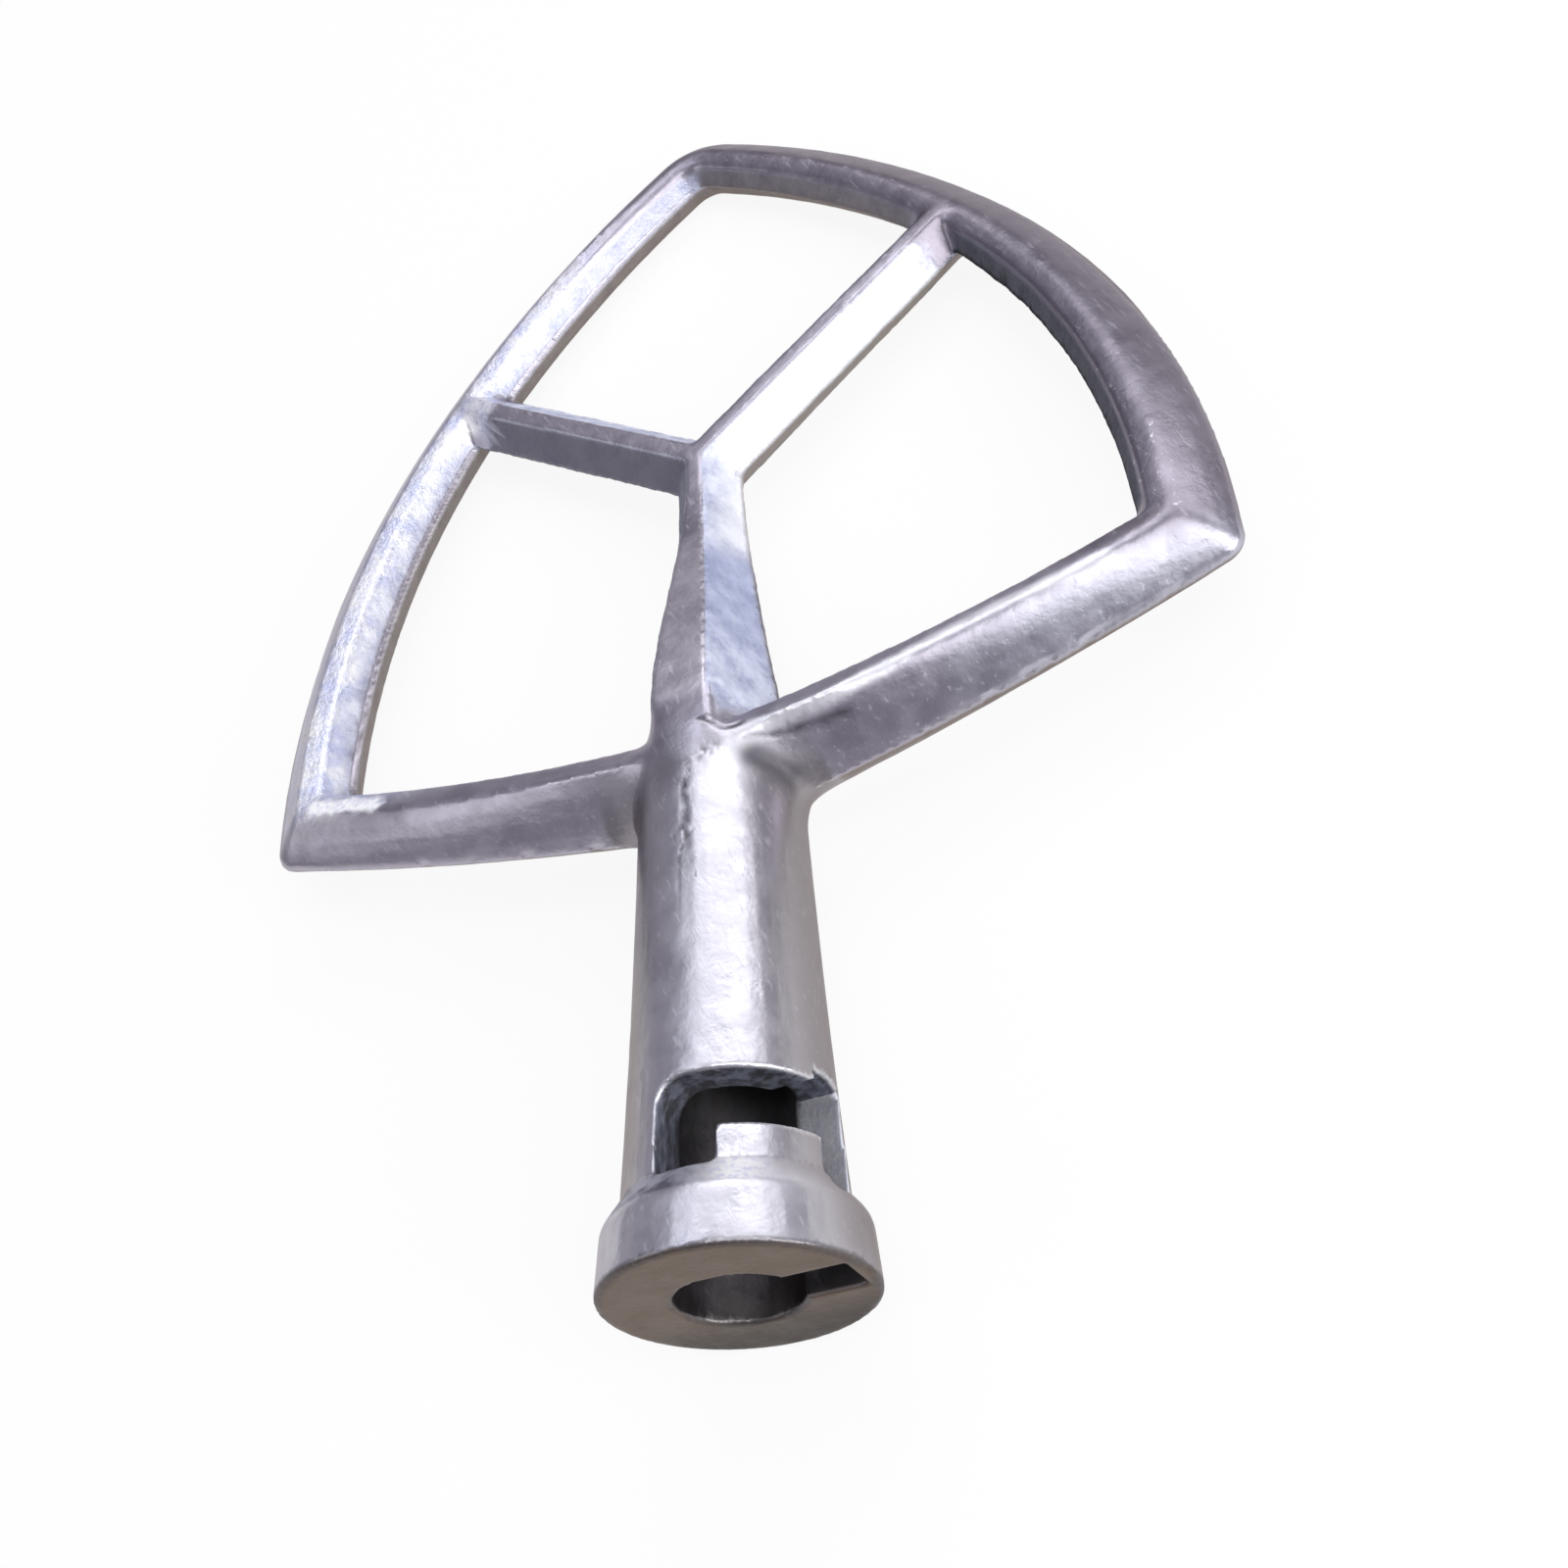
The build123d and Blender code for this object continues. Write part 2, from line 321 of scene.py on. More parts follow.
def frame_inset(u, v):
    """How far a point lies inside the frame's outer outline: arc radius less the distance from that
    arc's centre, for the tip, shoulder or side arc by the angle round its centre, or for the arm
    arc where that is less."""
    across = np.abs(u)
    tip = TIP_RADIUS - np.hypot(across, v - TIP_CENTRE)
    turn = np.arctan2(across, v - TIP_CENTRE)
    shoulder = SHOULDER_RADIUS - np.hypot(across - SHOULDER_CENTRE[0], v - SHOULDER_CENTRE[1])
    lean = np.arctan2(across - SHOULDER_CENTRE[0], v - SHOULDER_CENTRE[1])
    side = SIDE_RADIUS - np.hypot(across - SIDE_CENTRE[0], v - SIDE_CENTRE[1])
    upper = np.where(turn < TIP_TURN, tip, np.where(lean < SHOULDER_TURN, shoulder, side))
    arm = ARM_RADIUS - np.hypot(across - ARM_CENTRE[0], v - ARM_CENTRE[1])
    return np.minimum(upper, arm)


def line_distance(u, v, corners):
    """Distance in the flat of each point from a line through the corners: its nearest run."""
    best = np.full(len(u), 1e9)
    for (ax, ay), (bx, by) in zip(corners[:-1], corners[1:]):
        run = np.array([bx - ax, by - ay])
        part = np.clip(((u - ax) * run[0] + (v - ay) * run[1]) / (run @ run), 0.0, 1.0)
        best = np.minimum(best, np.hypot(u - ax - part * run[0], v - ay - part * run[1]))
    return best


def near_line(u, v, corners, low, high):
    """1 nearer than low to a line through the corners, 0 beyond high, and an S curve between."""
    return fade(line_distance(u, v, corners), low, high)


def worn_shape(points, edges):
    """Softens the casting where it is worn or cast round: the crest of the rim at the tip and the
    right and of both arms, the corner where the hub runs into the right arm, the nose that runs
    out in the spine, and the upper edge of the collar. Each place starts from the last one's
    points."""
    u, v, w = points.T
    inset = frame_inset(u, v)
    crest = smoothstep(inset, 1.8, 3.2) * fade(inset, 6.6, 7.6) * smoothstep(w, 1.6, 2.6)
    rim = smoothstep(u, -16.0, -4.0) * smoothstep(v, 74.0, 80.0)
    right = smoothstep(u, 17.0, 22.0) * fade(v, 74.0, 80.0)
    left = smoothstep(-u, 19.0, 24.0) * fade(-u, 48.0, 52.0) * fade(v, 68.0, 74.0)
    crest = crest * np.maximum(np.maximum(rim, right), 0.35 * left)
    points = soften(points, edges, CREST_ROUNDS, crest)
    root = near_line(u, v, ROOT_LINE, 2.0, 4.4) * smoothstep(w, 1.0, 3.0)
    points = soften(points, edges, ROOT_ROUNDS, root)
    nose = near_line(u, v, NOSE_LINE, 1.4, 3.2)
    nose = np.maximum(nose, near_line(u, v, NOSE_SIDE_LINE, 1.2, 2.8))
    points = soften(points, edges, NOSE_ROUNDS, nose * smoothstep(w, 4.0, 6.0))
    collar = smoothstep(v, 4.6, 5.8) * fade(v, 7.6, 8.8) * smoothstep(np.hypot(u, w), 11.4, 12.0)
    return soften(points, edges, COLLAR_ROUNDS, collar)


def slipped(points):
    """The mould's two halves did not quite meet: above the parting the frame lies a little to the
    left, below it as far to the right, with a short step between and nothing moved at the hub."""
    u, v, w = points.T
    side = 2.0 * smoothstep(w, -0.60, 0.30) - 1.0
    on_frame = smoothstep(v, 60.0, 72.0)
    reach = on_frame + fade(v, 60.0, 72.0) * smoothstep(np.abs(u), 15.0, 21.0)
    reach = reach * fade(np.abs(u), 57.0, 62.0)
    return points - np.stack([HALF_SLIP * side * reach, 0.0 * v, 0.0 * w], axis=1)


def casting_skin():
    """The CAD casting as one even skin: its triangles merged, remeshed on a fine grid that lines up
    with the shaft, relaxed, its inner corners filled as in a mould, its worn places softened, and
    its halves slipped."""
    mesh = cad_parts["paddle_casting"].data.copy()
    tidy = bmesh.new()
    tidy.from_mesh(mesh)
    bmesh.ops.remove_doubles(tidy, verts=tidy.verts, dist=1e-6)
    tidy.to_mesh(mesh)
    tidy.free()
    points, _ = mesh_arrays(mesh)
    mesh.vertices.foreach_set("co", to_shaft(points).ravel())
    mesh.update()
    rough = linked("rough_skin", mesh)
    grid = rough.modifiers.new("even_skin", "REMESH")
    grid.mode = "VOXEL"
    grid.voxel_size = SKIN_STEP
    grid.adaptivity = 0.0
    mesh = baked(rough)
    points, edges = mesh_arrays(mesh)
    points = relax(points, edges, 2)
    u, v, _ = points.T
    points = fill_corners(mesh, points, edges, CORNER_ROUNDS, smoothstep(v, 26.0, 40.0))
    root = fade(np.hypot(u, (v - 60.0) * 0.9), 15.0, 19.0) * smoothstep(v, 40.0, 48.0)
    root = root * (1.0 - smoothstep(v, 60.5, 63.0) * smoothstep(u, 1.0, 2.5))
    points = fill_corners(mesh, points, edges, HUB_CORNER_ROUNDS, root)
    points = slipped(worn_shape(points, edges))
    point_normals(mesh, points)
    fine = linked("fine_skin", mesh)
    thin = fine.modifiers.new("fewer_faces", "DECIMATE")
    thin.ratio = min(1.0, TRIANGLES / (2.0 * len(mesh.polygons)))
    return baked(fine)


class Skin:
    """The skin's points with their masks. Each mask is a product of S curves of the place, or of
    the way the skin faces, from 0 to 1. The methods run in the order they stand in, because each
    reads masks from the ones before."""

    def __init__(self, mesh):
        self.points, self.edges = mesh_arrays(mesh)
        self.normals = point_normals(mesh, self.points)
        self.inset = frame_inset(*self.points.T[:2])
        self.mark_surfaces()
        self.mark_low_shade()
        self.mark_dark()
        self.mark_wear_and_shade()
        self.mark_tones()
        self.mark_mould()
        self.mark_bright()

    def mark_surfaces(self):
        """The hub's barrel; the rough upright walls of the frame; the cut walls of the turning slot
        with its ledge, which counts as a wall; the bore with its groove; and the mouth."""
        u, v, w = self.points.T
        around = np.hypot(u, w)
        self.flat = np.abs(self.normals[:, 2])
        self.hub = fade(v, 56.0, 66.0) * fade(around, 13.8, 15.0)
        rib = smoothstep(self.inset, 11.0, 14.0)
        wall = fade(self.flat, 0.35 + 0.45 * rib, 0.60 + 0.33 * rib)
        wall = wall * (1.0 - self.hub) * smoothstep(self.inset, 5.5, 7.5)
        # how far the skin faces away from the shaft's axis
        outward = np.einsum("ij,ij->i", self.normals[:, [0, 2]], self.points[:, [0, 2]])
        inward = fade(outward / np.maximum(around, 1e-6), 0.45, 0.75)
        cut = self.hub * inward * fade(v, 44.0, 48.0) * smoothstep(v, 0.3, 0.6)
        cut = cut * smoothstep(v, 8.5, 10.0)
        self.ledge = cut * smoothstep(self.normals[:, 2], 0.5, 0.85) * smoothstep(u, 3.5, 6.0)
        self.wall = np.maximum(wall, self.ledge)
        self.cut = cut * (1.0 - self.ledge)
        # the bore and its groove get painted shade in the finish
        bore = fade(around, 6.6, 6.9) * fade(v, 50.0, 52.0) * smoothstep(v, 0.2, 0.5)
        groove = self.hub * inward * fade(v, 8.5, 10.0) * smoothstep(v, 0.3, 0.6)
        self.bore = np.maximum(bore, groove)
        self.mouth = smoothstep(-self.normals[:, 1], 0.30, 0.60) * fade(v, 0.4, 1.1)

    def mark_low_shade(self):
        """Brown painted shade on the underside, the barrel's left flank, the tip's inner wall and
        the mouth, which is darkest low down; and the barrel's side in the lee of the light."""
        u, v, w = self.points.T
        self.lee = self.hub * fade(w, 1.5, 11.5) * (1.0 - self.cut) * (1.0 - self.ledge)
        # painted shade on the barrel's underside and on the frame's underside
        barrel = 0.85 * self.hub * fade(w, -7.0, 1.0)
        below = np.maximum(fade(w, -0.7, 0.3) * (1.0 - self.hub), barrel)
        below = below * (1.0 - self.cut) * (1.0 - self.ledge)
        # painted shade on the barrel's left flank
        flank = 0.60 * self.hub * smoothstep(-u, 3.4, 7.6) * fade(v, 26.0, 42.0)
        flank = flank * smoothstep(v, 8.0, 11.0) * (1.0 - self.cut)
        below = np.maximum(below, flank)
        # painted shade on the tip's inner wall
        tip_wall = self.wall * smoothstep(v, 139.0, 146.0) * fade(self.inset, 13.0, 16.0)
        tip_wall = tip_wall * smoothstep(-self.normals[:, 1], 0.2, 0.6)
        tip_wall = tip_wall * smoothstep(-self.normals[:, 0], -0.05, 0.30)
        below = np.maximum(below, 0.55 * tip_wall)
        # the mouth gets the same brown painted shade, darkest low down
        self.below = np.maximum(below, self.mouth)
        self.deep = self.mouth * smoothstep(-w, 1.0, 11.0)

    def mark_dark(self):
        """Shy walls, which face away from the light, and shades: of walls that face left, of the
        barrel's left side, of the brow above it, of the left arm's heel, of the right rim's land,
        and of the hollow where the hub meets the right arm."""
        u, v, w = self.points.T
        facing_left = -self.normals[:, 0]
        rim_wall = fade(self.inset, 11.0, 13.0) * smoothstep(u, -9.0, 1.0)
        rim_wall = rim_wall * smoothstep(facing_left, -0.35, 0.2)
        rim_wall = rim_wall * fade(self.normals[:, 1], 0.15, 0.45)
        shy = np.maximum(0.45 * smoothstep(facing_left, 0.62, 0.85), rim_wall) * self.wall
        self.shy = shy * fade(v, 139.0, 145.0)
        barrel = 0.42 * self.hub * smoothstep(-u, 2.8, 5.0) * smoothstep(v, 28.0, 36.0)
        brow = near_line(u, v, BROW_LINE, 1.0, 3.6)
        heel = near_line(u, v, HEEL_LINE, 0.8, 2.2)
        inner = smoothstep(u, 35.0, 42.0) * smoothstep(v, 80.0, 92.0) * fade(v, 128.0, 138.0)
        inner = 0.50 * (inner * smoothstep(w, 2.0, 3.0)) * smoothstep(self.inset, 3.6, 6.0)
        self.shade = smoothstep(facing_left, 0.10, 0.50) * self.wall * (1.0 - self.shy)
        for tone in (barrel * (1.0 - self.cut), 0.36 * brow * smoothstep(w, 3.0, 5.0),
                     0.42 * heel * smoothstep(w, 1.5, 3.0), inner * fade(self.inset, 12.2, 13.2)):
            self.shade = np.maximum(self.shade, tone)
        self.hollow = near_line(u, v, HOLLOW_LINE, 0.5, 2.8) * smoothstep(w, 0.5, 3.0)

    def mark_wear_and_shade(self):
        """Wear on outer edges and painted shade in inner corners, both from the bend: how far a
        point lies below the mean of its neighbours, over the square of its edges' mean length. The
        right rim gets painted shade instead of wear, and the edges beside the spine and of the mouth
        get painted shade."""
        u, v, w = self.points.T
        points, edges = self.points, self.edges
        bend = np.einsum("ij,ij->i", neighbour_mean(points, edges) - points, self.normals)
        bend = neighbour_mean(bend[:, None], edges)[:, 0]
        length = np.linalg.norm(points[edges[:, 0]] - points[edges[:, 1]], axis=1)
        span = np.bincount(edges.ravel(), np.repeat(length, 2)) / np.bincount(edges.ravel())
        bend = bend / span ** 2
        worn = smoothstep(-bend, 0.12, 0.50) * (1.0 - self.bore)
        worn = worn * (0.10 + 0.90 * smoothstep(v, 0.8, 2.4))
        # painted shade on the right rim's faces, in place of wear
        self.painted_rim_shade = smoothstep(u, -10.0, 5.0) * fade(self.inset, 12.2, 13.6)
        self.painted_rim_shade = self.painted_rim_shade * smoothstep(v, 71.0, 75.0)
        worn = worn * (1.0 - 0.9 * self.painted_rim_shade)
        worn = worn * (1.0 - 0.85 * np.exp(-(w / 0.8) ** 2) * (1.0 - self.hub))
        # painted shade along the edges beside the spine and of the mouth
        beside = smoothstep(v, 60.0, 64.0) * fade(v, 90.0, 96.0) * fade(np.abs(u), 8.0, 10.0)
        dark_edge = np.maximum(0.60 * beside * (u > 0.0), 0.75 * fade(v, 0.9, 1.6))
        self.dark_edge = dark_edge * smoothstep(-bend, 0.06, 0.30)
        self.worn = worn * (1.0 - 0.8 * beside)
        # painted shade in inner corners
        self.painted_corner_shade = smoothstep(bend, 0.06, 0.30)

    def mark_tones(self):
        """Places with a tone unlike the rest: the right arm, the spine's land, the spine's bluish
        right wall, painted light on the branches' walls, and painted light on the cone above the
        collar with painted shade on its left part."""
        u, v, w = self.points.T
        self.arm = smoothstep(u, 20.0, 44.0) * fade(v - 0.28 * (u - 60.0), 73.0, 77.0)
        self.arm = self.arm * (1.0 - self.hub)
        land = smoothstep(self.inset, 11.5, 14.0) * smoothstep(self.flat, 0.86, 0.95)
        land = land * smoothstep(w, 2.0, 3.0) * (1.0 - self.hub)
        self.spine = land * smoothstep(v, 60.0, 66.0) * fade(v, 92.0, 98.0)
        self.spine = self.spine * fade(np.abs(u), 7.0, 9.0)
        self.blue = self.wall * smoothstep(u, 0.5, 2.0) * fade(u, 9.0, 11.0)
        self.blue = self.blue * smoothstep(v, 66.0, 88.0) * fade(v, 93.0, 98.0)
        # painted light on the right branch's walls
        self.branch = self.wall * smoothstep(v, 93.0, 99.0) * smoothstep(u, 1.0, 4.0)
        self.branch = self.branch * (1.0 - self.shy) * smoothstep(self.inset, 11.0, 13.0)
        # painted light on the cone above the collar, and painted shade on its left part
        cone = smoothstep(v, 6.2, 7.0) * fade(v, 9.4, 10.2)
        cone = cone * smoothstep(self.normals[:, 1], 0.15, 0.45)
        low = 1.0 + 6.0 * smoothstep(u, -1.0, 1.0)
        self.cone = cone * smoothstep(w, low, low + 3.5) * (1.0 - self.cut)
        self.dim_cone = self.cone * fade(u, 0.0, 4.6)

    def mark_mould(self):
        """How far the skin stands proud, with its creases: soft lumps as cast, a jagged fin where
        the mould parts, nicks in the arms' lower edge, and creases sunk along their lines, with
        painted shade in them and along the dark edges."""
        points = self.points
        u, v, w = points.T
        proud = 0.055 * lump(points, wave=6.0, seed=3) + 0.035 * lump(points, wave=2.3, seed=5)
        proud = proud * (0.30 + 1.0 * self.wall) * (1.0 - self.cut) * (1.0 - 0.7 * self.hub)
        right_rim = 0.6 * smoothstep(u, 25.0, 38.0) * smoothstep(v, 76.0, 84.0)
        proud = proud * (1.0 - right_rim * (1.0 - self.wall))
        jags = lump(points, wave=9.0, seed=11) + 0.5 * lump(points, wave=2.6, seed=12)
        fin = 0.14 * (1.0 - 0.7 * self.shy) * (1.0 - 0.8 * smoothstep(v, 139.0, 146.0))
        fin = fin * np.exp(-(w / 0.40) ** 2) * self.wall * fade(self.inset, 11.5, 13.0)
        proud = proud + fin * smoothstep(jags, -0.35, 0.8)
        edge = np.exp(-(w / 0.9) ** 2) * fade(self.inset, 0.8, 1.8) * fade(v, 68.0, 74.0)
        edge = edge * fade(np.abs(u), 55.0, 59.0)
        proud = proud - 0.20 * edge * smoothstep(lump(points, wave=4.6, seed=21), 0.30, 0.9)
        sunk = np.zeros(len(points))
        front = smoothstep(w, 2.0, 4.0)
        gaps = fade(lump(points, wave=1.2, seed=45), -0.05, 0.45)
        wander = lump(points, wave=2.4, seed=41)
        for corners, width, waver, depth, broken in CREASES:
            line = line_distance(u + waver * wander, v, corners)
            line = np.exp(-(line / width) ** 2) * front * (1.0 - broken * gaps)
            sunk = np.maximum(sunk, depth * line)
        sunk = sunk * (0.55 + 0.45 * smoothstep(lump(points, wave=3.0, seed=43), -0.5, 0.5))
        self.proud = proud - 0.15 * sunk
        # painted shade in the creases and along the dark edges
        self.painted_crease_shade = np.maximum(sunk, self.dark_edge)

    def mark_bright(self):
        """A painted highlight along the right arm's crest, specks on the right rim, painted glare on
        the left rim with a streak along it, and painted highlights: a patch at the left corner, the
        lit part of the cone and the slot's ledge."""
        points = self.points
        u, v, w = points.T
        # painted highlight along the right arm's crest
        painted_crest_highlight = near_line(u, v + 0.2 * lump(points, wave=3.4, seed=47), HIGHLIGHT_LINE, 0.35, 1.30)
        start = near_line(u, v, HIGHLIGHT_START, 0.6, 1.9)
        self.painted_crest_highlight = np.maximum(painted_crest_highlight, 0.8 * start) * smoothstep(w, 2.4, 3.6)
        speck = smoothstep(self.inset, 4.6, 6.2) * fade(self.inset, 10.2, 11.6)
        speck = speck * smoothstep(w, 1.5, 2.5) * smoothstep(u, 44.0, 54.0)
        speck = speck * smoothstep(v, 74.0, 78.0) * fade(v, 96.0, 112.0)
        self.speck = speck * smoothstep(lump(points, wave=9.0, seed=61), -0.5, 0.5)
        # painted glare on the left rim, with a streak along it
        left = smoothstep(-u, 12.0, 26.0) * smoothstep(v, 69.0, 76.0) * smoothstep(w, 0.8, 2.2)
        from_streak = self.inset - 2.7 - 0.4 * lump(points, wave=14.0, seed=51)
        streak = np.exp(-(from_streak / 0.45) ** 2)
        streak = streak * smoothstep(lump(points, wave=8.0, seed=53), -0.5, 0.4)
        strength = 0.50 + 0.40 * streak + 0.50 * smoothstep(self.inset, 4.4, 6.2)
        painted_glare = left * np.minimum(strength, 1.0) * smoothstep(self.inset, 1.0, 2.4)
        painted_glare = painted_glare * fade(self.inset, 11.0, 13.0)
        # painted highlight on a patch at the left corner
        patch = near_line(u, v + 0.4 * lump(points, wave=3.0, seed=57), PATCH_LINE, 0.9, 1.6)
        patch = patch * smoothstep(w, 3.0, 4.0)
        self.painted_glare = np.maximum(painted_glare, patch)
        # painted highlights on the lit part of the cone and on the slot's ledge
        lit_cone = self.cone * np.exp(-((u - 5.6) / 2.8) ** 2)
        self.painted_highlight = np.maximum(np.maximum(patch, lit_cone), 0.6 * self.ledge)


def casting_piece():
    """The finished casting: the skin moved out by its mould marks, with the masks that its finish
    reads. It is kept inside the CAD model's box."""
    mesh = casting_skin()
    skin = Skin(mesh)
    points = to_row(skin.points + skin.normals * skin.proud[:, None])
    low, high = (np.array(c) for c in cad_box)
    mesh.vertices.foreach_set("co", np.clip(points, low, high).ravel())
    for name in MASKS:
        layer = mesh.attributes.new(name, "FLOAT", "POINT")
        layer.data.foreach_set("value", getattr(skin, name).astype(np.float32))
    mesh.polygons.foreach_set("use_smooth", np.ones(len(mesh.polygons), bool))
    mesh.update()
    return linked("casting", mesh)


class Nodes:
    """Puts nodes into a node tree and joins them."""

    def __init__(self, tree):
        self.tree = tree

    def node(self, kind, settings=None, **inputs):
        """A new node with its settings, and its inputs by name with _ for a space."""
        made = self.tree.nodes.new(kind)
        for name, value in (settings or {}).items():
            setattr(made, name, value)
        for name, value in inputs.items():
            self.feed(made.inputs[name.replace("_", " ")], value)
        return made

    def feed(self, socket, value):
        """Links a socket to the input, or sets its value; a colour gets its fourth number."""
        if isinstance(value, bpy.types.NodeSocket):
            self.tree.links.new(value, socket)
        elif socket.type == "RGBA":
            socket.default_value = (*value, 1.0)
        else:
            socket.default_value = value

    def mask(self, name):
        """A mask of the mesh."""
        return self.node("ShaderNodeAttribute", {"attribute_name": name}).outputs["Fac"]

    def sum(self, operation, a, b, clamp=False):
        """One sum with two numbers."""
        made = self.node("ShaderNodeMath", {"operation": operation, "use_clamp": clamp})
        self.feed(made.inputs[0], a)
        self.feed(made.inputs[1], b)
        return made.outputs[0]

    def times(self, a, b):
        """The product of two numbers."""
        return self.sum("MULTIPLY", a, b)

    def scale_range(self, value, low, high, to_low=0.0, to_high=1.0):
        """The range from low to high taken to another one along an S curve."""
        made = self.node("ShaderNodeMapRange", {"interpolation_type": "SMOOTHSTEP"})
        for socket, item in zip(made.inputs, (value, low, high, to_low, to_high)):
            self.feed(socket, item)
        return made.outputs[0]

    def blend(self, share, a, b):
        """Colour a with a share of colour b."""
        made = self.node("ShaderNodeMix", {"data_type": "RGBA"})
        for index, item in ((0, share), (6, a), (7, b)):
            self.feed(made.inputs[index], item)
        return made.outputs[2]

    def noise(self, place, scale, detail=3.0, roughness=0.55):
        """Fractal noise from 0 to 1."""
        made = self.node("ShaderNodeTexNoise", Vector=place, Scale=scale, Detail=detail,
                         Roughness=roughness)
        return made.outputs["Fac"]

    def stretched(self, place, **turn_and_scale):
        """A place for noise that is drawn out along Y."""
        made = self.node("ShaderNodeMapping", {"vector_type": "TEXTURE"}, Vector=place,
                         **turn_and_scale)
        return made.outputs[0]

    def shader_mix(self, share, a, b):
        """Shader a with a share of shader b."""
        made = self.node("ShaderNodeMixShader")
        for index, item in enumerate((share, a.outputs[0], b.outputs[0])):
            self.feed(made.inputs[index], item)
        return made.outputs[0]


def new_material(name):
    """A material with an empty node tree, and what puts nodes into it."""
    material = bpy.data.materials.new(name)
    material.use_nodes = True
    material.node_tree.nodes.clear()
    return material, Nodes(material.node_tree)


def casting_material():
    """Aluminium as cast: burnished faces, a rough blue-grey skin on the walls, brown painted shade
    below, and painted light and shade laid over both.
    """
    material, n = new_material("cast_aluminium")
    mask = {name: n.mask(name) for name in MASKS}
    place = n.node("ShaderNodeTexCoord").outputs["Object"]
    clouds = n.noise(place, CLOUD_SCALE, 4.0)
    patches = n.noise(place, PATCH_SCALE)
    grain = n.noise(place, GRAIN_SCALE, roughness=0.65)
    broad_patches = n.scale_range(patches, 0.30, 0.70)
    streaks = n.noise(n.stretched(place, Scale=(1.0, 3.5, 1.0)), STREAK_SCALE, roughness=0.65)
    streaks = n.scale_range(streaks, 0.36, 0.64)
    along = n.stretched(place, Rotation=(0.0, 0.0, 0.45), Scale=(1.0, 7.0, 1.0))
    scratch = n.scale_range(n.noise(along, SCRATCH_SCALE, 2.0), 0.60, 0.72)
    dots = n.scale_range(n.noise(place, DOT_SCALE), 0.62, 0.69)

    # burnished faces of the frame, with painted shade on the right rim, and the hub's barrel with
    # painted light on the cone above the collar and painted shade on its left part
    face = n.blend(clouds, FACE_DIM, FACE_LIT)
    # painted shade on the right rim's faces
    for name, share, paint in (("arm", 0.7, ARM_FACE), ("painted_rim_shade", 0.85, RIM_SHADE_FACE),
                               ("spine", 0.85, SPINE_FACE)):
        face = n.blend(n.times(mask[name], share), face, paint)
    barrel = n.blend(clouds, BARREL_DIM, BARREL_LIT)
    barrel = n.blend(n.times(mask["lee"], 0.95), barrel, BARREL_LEE)
    # painted light on the cone, and painted shade on its left part
    barrel = n.blend(mask["cone"], barrel, CONE)
    dim_cone = n.blend(n.scale_range(patches, 0.40, 0.60), CONE_DIM, CONE_LIT)
    barrel = n.blend(mask["dim_cone"], barrel, dim_cone)
    face = n.blend(mask["hub"], face, barrel)
    # the rough walls, with painted light on the right branch's walls
    rough = n.blend(broad_patches, ROUGH_DIM, ROUGH_LIT)
    rough = n.blend(n.scale_range(grain, 0.30, 0.70, 0.0, 0.35), rough, ROUGH_GRAIN)
    rough = n.blend(n.times(mask["blue"], 0.62), rough, n.blend(patches, BLUE_DIM, BLUE_LIT))
    # painted light on the right branch's walls
    rough = n.blend(n.times(mask["branch"], 0.75), rough, SILVER)
    # what lies over both, the last on top
    # painted glare on the left rim
    painted_glare = n.blend(broad_patches, GLARE, WHITE)
    painted_glare = n.blend(n.scale_range(grain, 0.56, 0.70, 0.0, 0.45), painted_glare, GLARE_GRAIN)
    # painted highlights on a patch at the left corner, the cone and the slot's ledge
    painted_highlight = n.blend(n.scale_range(grain, 0.44, 0.62, 0.0, 0.6), WHITE, HIGHLIGHT_GRAIN)
    colour = n.blend(mask["wall"], face, rough)
    for cover, share, paint in (
            # painted glare on the left rim
            (mask["painted_glare"], 0.9, painted_glare),
            (mask["cut"], 0.85, n.blend(streaks, CUT_DIM, CUT_LIT)),
            (scratch, 0.13, SCRATCH),
            (n.times(dots, mask["speck"]), 0.75, WHITE),
            # painted highlight on the right arm's crest
            (mask["painted_crest_highlight"], 0.72, SILVER),
            # painted highlights: a patch at the left corner, the lit part of the cone and the slot's
            # ledge
            (mask["painted_highlight"], 1.0, painted_highlight),
            (mask["shade"], 0.88, SHADE),
            (mask["shy"], 1.0, SHY),
            # painted shade, brown, below and on the mouth, darkest low in the mouth
            (mask["below"], 0.85, n.blend(patches, BROWN_DIM, BROWN_LIT)),
            (mask["mouth"], 0.92, MOUTH),
            (mask["deep"], 0.9, DEEP_MOUTH),
            # painted shade in inner corners, the hollow by the right arm and the creases
            (mask["painted_corner_shade"], 0.45, CORNER_SHADE),
            (mask["hollow"], 0.85, HOLLOW),
            (mask["painted_crease_shade"], 0.8, CREASE_SHADE),
            (mask["worn"], 0.55, WORN),
            # painted shade in the bore and its groove
            (mask["bore"], 0.9, BORE)):
        colour = n.blend(n.times(cover, share), colour, paint)

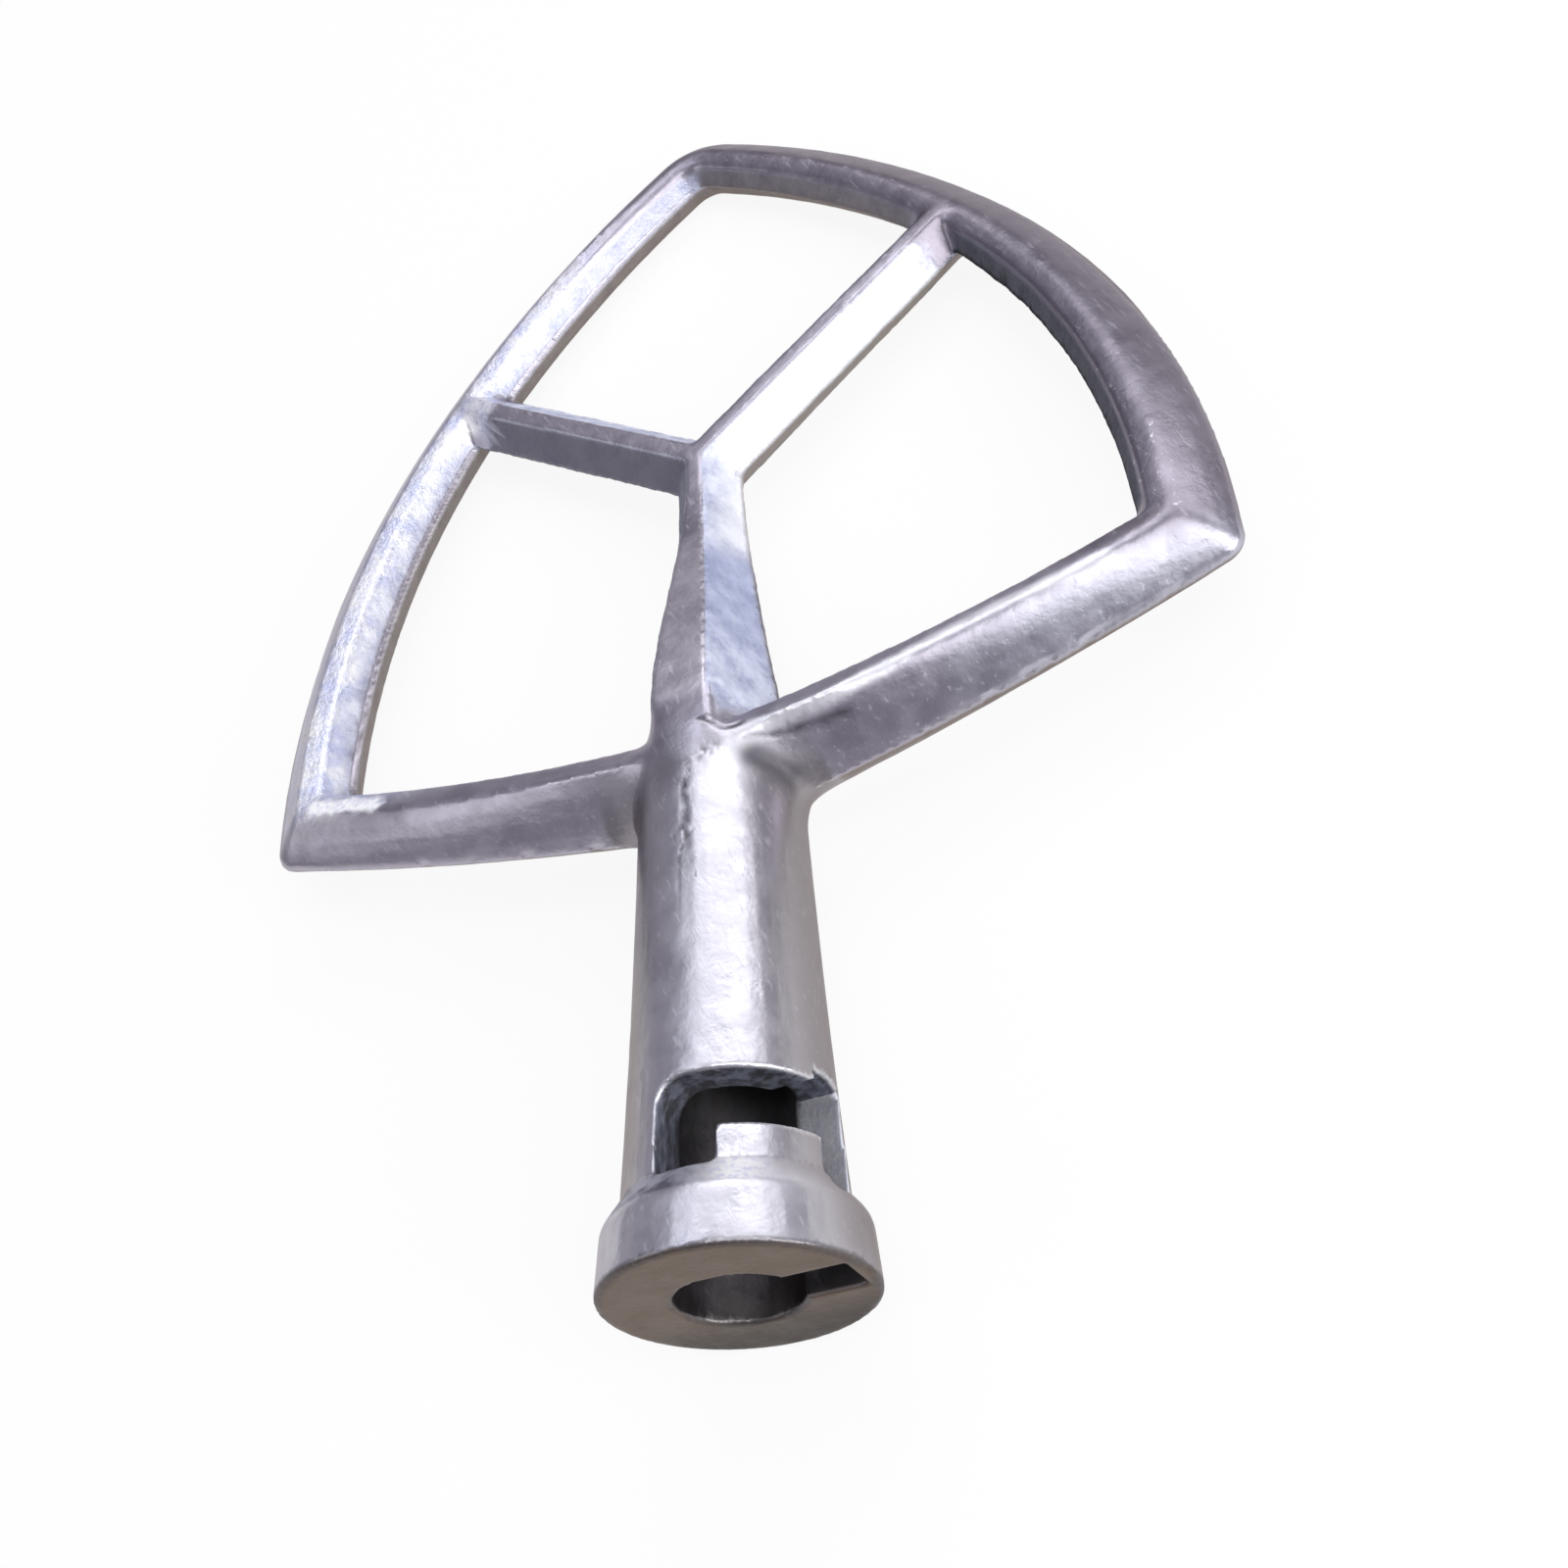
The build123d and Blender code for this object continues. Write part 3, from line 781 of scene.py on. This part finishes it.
    gloss = n.scale_range(patches, 0.3, 0.7, 0.31, 0.41)
    for cover, share in ((scratch, 0.10), (mask["hollow"], 0.20), (mask["shy"], 0.45),
                         (n.sum("MAXIMUM", mask["wall"], mask["cut"]), 0.22)):
        gloss = n.sum("ADD", gloss, n.times(cover, share))
    gloss = n.sum("SUBTRACT", gloss, n.times(mask["worn"], 0.06), clamp=True)
    matt = n.sum("MAXIMUM", mask["wall"], n.times(mask["painted_glare"], 0.8))
    metal = n.sum("SUBTRACT", 1.0, n.times(n.sum("MAXIMUM", matt, mask["mouth"]), 0.45))
    metal = n.sum("SUBTRACT", metal, n.times(mask["painted_crest_highlight"], 0.30))
    metal = n.sum("SUBTRACT", metal, n.times(mask["painted_highlight"], 0.60), clamp=True)
    height = n.times(grain, n.scale_range(matt, 0.0, 1.0, 0.15, 1.0))
    height = n.sum("ADD", height, n.times(patches, 0.5))
    height = n.sum("SUBTRACT", height, n.times(scratch, 0.035))
    bump = n.node("ShaderNodeBump", Strength=0.6, Distance=BUMP_DEPTH, Height=height).outputs[0]
    shader = n.node("ShaderNodeBsdfPrincipled", Base_Color=colour, Roughness=gloss,
                    Metallic=metal, Normal=bump, Specular_Tint=GLANCE_TINT)
    n.node("ShaderNodeOutputMaterial", Surface=shader.outputs[0])
    return material


def floor_material():
    """Pale floor that the camera and reflections see near white, and that keeps the shadow."""
    material, n = new_material("pale_floor")
    path = n.node("ShaderNodeLightPath").outputs
    seen = n.sum("MAXIMUM", path["Is Camera Ray"], path["Is Glossy Ray"])
    seen = n.sum("MAXIMUM", seen, path["Is Transmission Ray"])
    matt = n.node("ShaderNodeBsdfDiffuse", Color=FLOOR)
    glow = n.node("ShaderNodeEmission", Color=WHITE, Strength=1.0)
    mixed = n.shader_mix(n.times(seen, FLOOR_GLOW), matt, glow)
    n.node("ShaderNodeOutputMaterial", Surface=mixed)
    return material


def floor_piece():
    """A wide flat square under the casting: a grid of two parameters at height zero."""
    side = np.linspace(-FLOOR_REACH, FLOOR_REACH, FLOOR_LINES)
    x, y = np.meshgrid(side, side, indexing="ij")
    points = np.stack([x, y, np.zeros_like(x)], axis=-1).reshape(-1, 3)
    index = np.arange(FLOOR_LINES ** 2).reshape(FLOOR_LINES, FLOOR_LINES)
    faces = [index[:-1, :-1], index[1:, :-1], index[1:, 1:], index[:-1, 1:]]
    faces = np.stack(faces, axis=-1).reshape(-1, 4)
    mesh = bpy.data.meshes.new("floor")
    mesh.from_pydata(points.tolist(), [], faces.tolist())
    piece = linked("floor", mesh)
    mesh.materials.append(floor_material())


def compass(bearing, height, reach):
    """A place in metres from a bearing off the Y axis towards X, a height above the floor, both in
    degrees, and a distance."""
    bearing, height = math.radians(bearing), math.radians(height)
    return (reach * math.sin(bearing) * math.cos(height),
            reach * math.cos(bearing) * math.cos(height), reach * math.sin(height))


def lamp(name, place, size, watts, colour, roll):
    """A soft oblong lamp at a place, turned to the casting and rolled in its own flat by some
    degrees."""
    light = bpy.data.lights.new(name, "AREA")
    light.shape = "RECTANGLE"
    light.size, light.size_y = size
    light.energy = watts
    light.color = colour
    made = linked(name, light)
    made.location = place
    turn = (-Vector(place)).to_track_quat("-Z", "Y")
    roll = Quaternion((0.0, 0.0, 1.0), math.radians(roll))
    made.rotation_euler = (turn @ roll).to_euler()


def studio():
    """Camera at the photograph's angle, five soft lamps, and a world that the camera sees white
    and that lights the casting an even grey."""
    scene = bpy.context.scene
    scene.view_settings.view_transform = "Standard"
    lens = bpy.data.cameras.new("camera")
    lens.sensor_width = SENSOR_WIDTH
    lens.lens = FOCAL_LENGTH
    lens.clip_start = NEAREST_SEEN
    camera = linked("camera", lens)
    camera.location = CAMERA_PLACE
    camera.rotation_euler = [math.radians(a) for a in CAMERA_TURN]
    scene.camera = camera
    for name, bearing, height, reach, size, watts, colour, roll in LAMPS:
        lamp(name, compass(bearing, height, reach), size, watts, colour, roll)
    world = bpy.data.worlds.new("studio")
    world.use_nodes = True
    world.node_tree.nodes.clear()
    n = Nodes(world.node_tree)
    seen = n.node("ShaderNodeLightPath").outputs["Is Camera Ray"]
    room = n.node("ShaderNodeBackground", Color=ROOM, Strength=1.0)
    white = n.node("ShaderNodeBackground", Color=WHITE, Strength=1.0)
    n.node("ShaderNodeOutputWorld", Surface=n.shader_mix(seen, room, white))
    scene.world = world


studio()
floor_piece()
casting = casting_piece()
casting.data.materials.clear()
casting.data.materials.append(casting_material())
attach(casting, "root")
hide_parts("paddle_casting")
